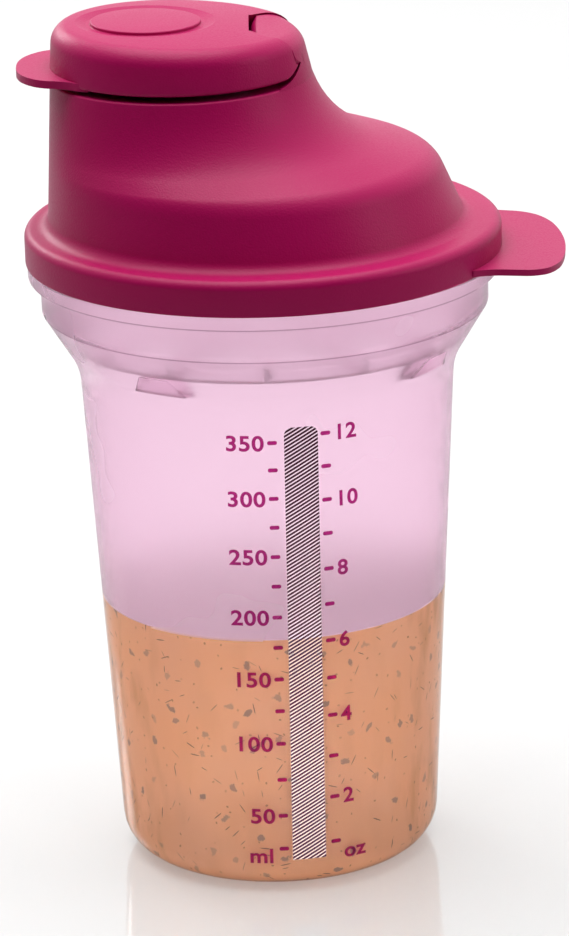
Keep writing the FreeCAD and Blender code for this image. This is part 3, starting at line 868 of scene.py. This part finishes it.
def makeMixingWheel():
    s = wheelSizes
    low, high = s["bottom"], s["bottom"] + s["thickness"]
    parts = []
    bend = s["edgeRound"]
    rings = ((s["outer"], s["ringWidth"]), (s["middle"], s["spokeWidth"]), (s["hub"], s["spokeWidth"]))
    for radius, width in rings:
        inner = radius - width
        middle = radius - width / 2
        corners = [(middle, high, 0), (inner, high, bend), (inner, low, bend), (radius, low, bend),
                   (radius, high, bend), (middle + 0.1, high, 0)]
        parts.append(lathe("wheelRing", flatten(roundedGroups(corners, 3)), 120, True))
    start = s["hub"] - s["spokeWidth"] / 2
    length = s["outer"] - s["ringWidth"] / 2 - start
    for i in range(s["spokes"]):
        turn = math.radians(i * 360 / s["spokes"])
        middle = start + length / 2
        deselectAll()
        bpy.ops.mesh.primitive_cube_add(size=1, rotation=(0, 0, turn), location=(
            middle * math.cos(turn) * mm, middle * math.sin(turn) * mm, (low + high) / 2 * mm))
        spoke = nameNew("spoke")
        spoke.scale = (length * mm, s["spokeWidth"] * mm, (s["thickness"] - bend) * mm)
        parts.append(finishMesh(spoke))
    wheel = parts[0]
    for part in parts[1:]:      # one moulding, with no faces left inside it
        carve(wheel, part, "UNION")
    finishMesh(wheel, 30)
    return nameNew("mixingWheel")


mixingWheel = dress(makeMixingWheel(), "insert", "mixing_insert", insertPlastic, "mixing_insert")
print("mixing insert laid")

# Printed scale: marks, numbers and a hatched strip, laid on the wall from the front

markSizes = dict(width=1.95, height=0.84, thickness=0.05, gap=0.03)
mlMarks = {350: 98.03, 325: 92.26, 300: 86.22, 275: 80.07, 250: 73.80, 225: 67.45, 200: 60.78, 175: 54.21,
           150: 47.31, 125: 40.37, 100: 33.21, 75: 25.26, 50: 17.26, 25: 9.91}
ozMarks = {12: 99.30, 11: 92.33, 10: 85.21, 9: 78.01, 8: 70.43, 7: 62.81, 6: 54.92, 5: 46.78, 4: 38.55,
           3: 29.59, 2: 20.52, 1: 10.58}
scalePlaces = dict(
    mlMark=0.5, ozMark=11.1, mlLabel=-1.1, ozLabel=12.8, mlUnit=(-4.1, 8.15), ozUnit=(14.9, 7.94), letter=4.5,
    mlSpread=1.1, ozSpread=0.96, drop=0.25, spacing=1.06, boldness=0.1)
stripSizes = dict(
    low=7.32, high=101.1, leftLow=2.17, leftHigh=2.89, rightLow=9.02, rightHigh=9.62, corner=1.6,
    thickness=0.03, rungs=24, along=(4.0, 5.8, 7.5))


def layOnWall(piece, thickness=markSizes["thickness"]):
    piece.location.y = -0.1
    finishMesh(piece)
    applyModifier(piece, "SHRINKWRAP", target=beakerShell, wrap_method="PROJECT", use_project_y=True,
                  use_positive_direction=True, use_negative_direction=False, offset=markSizes["gap"] * mm)
    applyModifier(piece, "SOLIDIFY", thickness=thickness * mm, offset=1)
    return finishMesh(piece)


def makeMark(x, z):
    deselectAll()
    bpy.ops.mesh.primitive_plane_add(size=1, rotation=(math.pi / 2, 0, 0), location=(x * mm, 0, z * mm))
    mark = nameNew("mark")
    mark.scale = (markSizes["width"] * mm, markSizes["height"] * mm, 1)
    pick(mark)
    bpy.ops.object.transform_apply(location=False, rotation=False, scale=True)
    bpy.ops.object.mode_set(mode="EDIT")
    bpy.ops.mesh.bevel(offset=0.42 * markSizes["height"] * mm, segments=4, affect="VERTICES")
    bpy.ops.object.mode_set(mode="OBJECT")
    return finishMesh(mark)


def makeLabel(words, x, z, align, spread):
    deselectAll()
    bpy.ops.object.text_add(rotation=(math.pi / 2, 0, 0), location=(x * mm, 0, z * mm))
    label = bpy.context.object
    label.data.body = words
    label.data.align_x = align
    label.data.align_y = "CENTER"
    label.data.size = scalePlaces["letter"] * mm
    label.data.space_character = scalePlaces["spacing"]
    label.data.offset = scalePlaces["boldness"] * mm
    label.data.resolution_u = 6
    label.scale.x = spread
    bpy.ops.object.convert(target="MESH")
    return finishMesh(nameNew("label"))


def makeScale():
    s = scalePlaces
    marks = [makeMark(s["mlMark"], z) for z in mlMarks.values()]
    marks += [makeMark(s["ozMark"], z) for z in ozMarks.values()]
    ml, oz = s["mlSpread"], s["ozSpread"]
    labels = []
    for number, z in mlMarks.items():
        if number % 50 == 0:
            labels.append(makeLabel(str(number), s["mlLabel"], z - s["drop"], "RIGHT", ml))
    for number, z in ozMarks.items():
        if number % 2 == 0:
            labels.append(makeLabel(str(number), s["ozLabel"], z - s["drop"], "LEFT", oz))
    labels.append(makeLabel("ml", *s["mlUnit"], "CENTER", ml))
    labels.append(makeLabel("oz", *s["ozUnit"], "CENTER", oz))
    return layOnWall(joinPieces(marks, "scaleMarks")), layOnWall(joinPieces(labels, "scaleNumbers"))


def makeStrip():
    s = stripSizes
    deselectAll()
    bpy.ops.mesh.primitive_plane_add(size=1, rotation=(math.pi / 2, 0, 0))
    strip = nameNew("hatchStrip")
    pick(strip)
    bpy.ops.object.transform_apply(location=True, rotation=True, scale=True)
    for vertex in strip.data.vertices:
        end = "High" if vertex.co.z > 0 else "Low"
        vertex.co.x = s[("right" if vertex.co.x > 0 else "left") + end] * mm
        vertex.co.z = s[end.lower()] * mm
    bpy.ops.object.mode_set(mode="EDIT")
    bpy.ops.mesh.select_mode(type="VERT")
    bpy.ops.mesh.select_all(action="DESELECT")
    bpy.ops.object.mode_set(mode="OBJECT")
    for vertex in strip.data.vertices:
        vertex.select = vertex.co.z > 0.05
    bpy.ops.object.mode_set(mode="EDIT")
    bpy.ops.mesh.bevel(offset=s["corner"] * mm, segments=6, affect="VERTICES")
    bpy.ops.mesh.select_all(action="SELECT")
    for i in range(1, s["rungs"]):      # rungs across and lines along, so that it bends with the wall
        height = (s["low"] + (s["high"] - s["low"]) * i / s["rungs"]) * mm
        bpy.ops.mesh.bisect(plane_co=(0, 0, height), plane_no=(0, 0, 1))
        bpy.ops.mesh.select_all(action="SELECT")
    for x in s["along"]:
        bpy.ops.mesh.bisect(plane_co=(x * mm, 0, 0), plane_no=(1, 0, 0))
        bpy.ops.mesh.select_all(action="SELECT")
    bpy.ops.object.mode_set(mode="OBJECT")
    return layOnWall(strip, s["thickness"])


hatchFinish = dict(line=(0.03, 0.0, 0.009, 1), gap=(0.90, 0.85, 0.85, 1), pitch=0.68, slant=30, low=20.0,
                   high=90.0, gapLow=0.18, gapHigh=0.08)


def makeHatch():        # slanted lines, and gaps between them that are nearly clear
    f = hatchFinish
    material, shader = newMaterial("hatchInk", Roughness=0.5, Specular_IOR_Level=0.1)
    tree = material.node_tree
    place = addNode(tree, "ShaderNodeTexCoord").outputs["Object"]
    slant = math.radians(f["slant"])
    across = addNode(tree, "ShaderNodeVectorMath", {
        0: place, 1: (-math.sin(slant), 0, math.cos(slant))}, operation="DOT_PRODUCT").outputs["Value"]
    wave = mathNode(tree, "SINE", mathNode(tree, "MULTIPLY", across, 2 * math.pi / (f["pitch"] * mm)))
    line = remap(tree, wave, -0.55, -0.1)
    colour = mixColour(tree, line, f["gap"], f["line"])
    between = remap(tree, objectSpot(tree)["Z"], f["low"] * mm, f["high"] * mm, f["gapLow"], f["gapHigh"])
    tree.links.new(colour, shader.inputs["Base Color"])
    tree.links.new(mathNode(tree, "MAXIMUM", line, between), shader.inputs["Alpha"])
    return material


scaleMarks, scaleNumbers = makeScale()
dress(scaleMarks, "beaker", "beaker", inkMaterial)
dress(scaleNumbers, "beaker", "beaker", inkMaterial)
hatchStrip = dress(makeStrip(), "beaker", "beaker", makeHatch())
print("scale printed")

# Camera at the photograph's place: 569 x 936 pixels, long lens from the front, looking a little down

cameraSizes = dict(
    height=936, focal=5163.2, place=(0, -1.0103, 0.40387), pitch=0.3096, yaw=0.0029, roll=0.0297)


def makeCamera():
    s = cameraSizes
    data = bpy.data.cameras.new("photoCamera")
    data.sensor_fit = "VERTICAL"
    data.sensor_height = 36
    data.lens = s["focal"] * data.sensor_height / s["height"]
    data.clip_start = 0.05
    camera = bpy.data.objects.new("photoCamera", data)
    bpy.context.scene.collection.objects.link(camera)
    look = Vector((math.sin(s["yaw"]) * math.cos(s["pitch"]), math.cos(s["yaw"]) * math.cos(s["pitch"]),
                   -math.sin(s["pitch"])))
    level = Vector((math.cos(s["yaw"]), -math.sin(s["yaw"]), 0))
    down = look.cross(level)
    right = level * math.cos(s["roll"]) + down * math.sin(s["roll"])
    up = level * math.sin(s["roll"]) - down * math.cos(s["roll"])
    for row in range(3):
        camera.matrix_world[row][:] = (right[row], up[row], -look[row], s["place"][row])
    bpy.context.scene.camera = camera


makeCamera()

# Studio: pale glossy floor, white surround that is bright behind and dim in front, soft lamps

studio = dict(
    floorSize=8.0, floorDark=(0.45, 0.45, 0.45, 1), floorPale=(0.47, 0.47, 0.47, 1), floorGlow=0.23,
    floorGlowAway=0.85, glowReach=0.8, glowAside=0.12, glowBefore=0.06, floorThrough=0.3, front=0.01,
    back=1.1)
# place, target, size, power and spread of each lamp
lamps = dict(
    topSoftbox=((-0.05, 0.08, 0.9), (0, 0, 0.1), 0.9, 8.0, 180),
    rightSoftbox=((0.9, -0.2, 0.45), (0, 0, 0.12), 0.5, 1.3, 180),
    rimSoftbox=((-0.52, 0.78, 0.52), (0, 0, 0.17), 0.35, 2.5, 180),
    lowLeft=((-0.45, -0.75, 0.05), (0, 0, 0.03), 0.06, 0.042, 10),
    lowRight=((0.45, -0.75, 0.05), (0, 0, 0.03), 0.06, 0.05, 10))


def makeFloor():
    deselectAll()
    bpy.ops.mesh.primitive_plane_add(size=studio["floorSize"])
    floor = nameNew("studioFloor")
    material, shader = newMaterial("floorGloss", Roughness=0.03, IOR=1.7)
    tree = material.node_tree
    place = addNode(tree, "ShaderNodeTexCoord").outputs["Object"]
    cloud = addNode(tree, "ShaderNodeTexNoise", {"Vector": place, "Scale": 3.0})
    colour = mixColour(tree, cloud.outputs[0], studio["floorDark"], studio["floorPale"])
    tree.links.new(colour, shader.inputs["Base Color"])
    path = addNode(tree, "ShaderNodeLightPath")
    # beside and before the photograph's frame it glows more, so it stays pale from the sides and from behind
    spot = objectSpot(tree)
    aside = mathNode(tree, "SUBTRACT", mathNode(tree, "ABSOLUTE", spot["X"]), studio["glowAside"])
    before = mathNode(tree, "MULTIPLY_ADD", spot["Y"], -1.0, -studio["glowBefore"])
    away = mathNode(tree, "MAXIMUM", aside, before)
    glow = remap(tree, away, 0.0, studio["glowReach"], studio["floorGlow"], studio["floorGlowAway"])
    seen = mathNode(tree, "MULTIPLY", path.outputs["Is Camera Ray"], glow)
    seen = mathNode(tree, "MULTIPLY_ADD", path.outputs["Is Transmission Ray"], studio["floorThrough"], seen)
    shader.inputs["Emission Color"].default_value = (1, 1, 1, 1)
    tree.links.new(seen, shader.inputs["Emission Strength"])
    floor.data.materials.append(material)


def makeLamp(name, place, target, size, power, spread):
    data = bpy.data.lights.new(name, "AREA")
    data.shape = "DISK"
    data.size = size
    data.energy = power
    data.spread = math.radians(spread)
    lamp = bpy.data.objects.new(name, data)
    bpy.context.scene.collection.objects.link(lamp)
    lamp.location = place
    lamp.rotation_euler = (Vector(target) - Vector(place)).to_track_quat("-Z", "Y").to_euler()


def makeWorld():
    world = bpy.data.worlds.new("whiteSurround")
    bpy.context.scene.world = world
    world.use_nodes = True
    tree = world.node_tree
    background = tree.nodes["Background"]
    background.inputs["Color"].default_value = (1, 1, 1, 1)
    direction = addNode(tree, "ShaderNodeTexCoord").outputs["Generated"]
    towards = addNode(tree, "ShaderNodeVectorMath", {0: direction, 1: (0, 0.6, 0.8)}, operation="DOT_PRODUCT")
    depth = addNode(tree, "ShaderNodeMapRange", {
        "Value": towards.outputs["Value"], "From Min": -0.1, "From Max": 0.8, "To Min": studio["front"],
        "To Max": studio["back"]}, interpolation_type="SMOOTHSTEP").outputs["Result"]
    path = addNode(tree, "ShaderNodeLightPath")
    light = mathNode(tree, "MULTIPLY", depth, mathNode(tree, "SUBTRACT", 1.0, path.outputs["Is Camera Ray"]))
    strength = mathNode(tree, "ADD", light, path.outputs["Is Camera Ray"])
    tree.links.new(strength, background.inputs["Strength"])


makeFloor()
makeWorld()
for lampName, lampSizes in lamps.items():
    makeLamp(lampName, *lampSizes)
bpy.context.scene.view_settings.view_transform = "Standard"
print("studio lit")
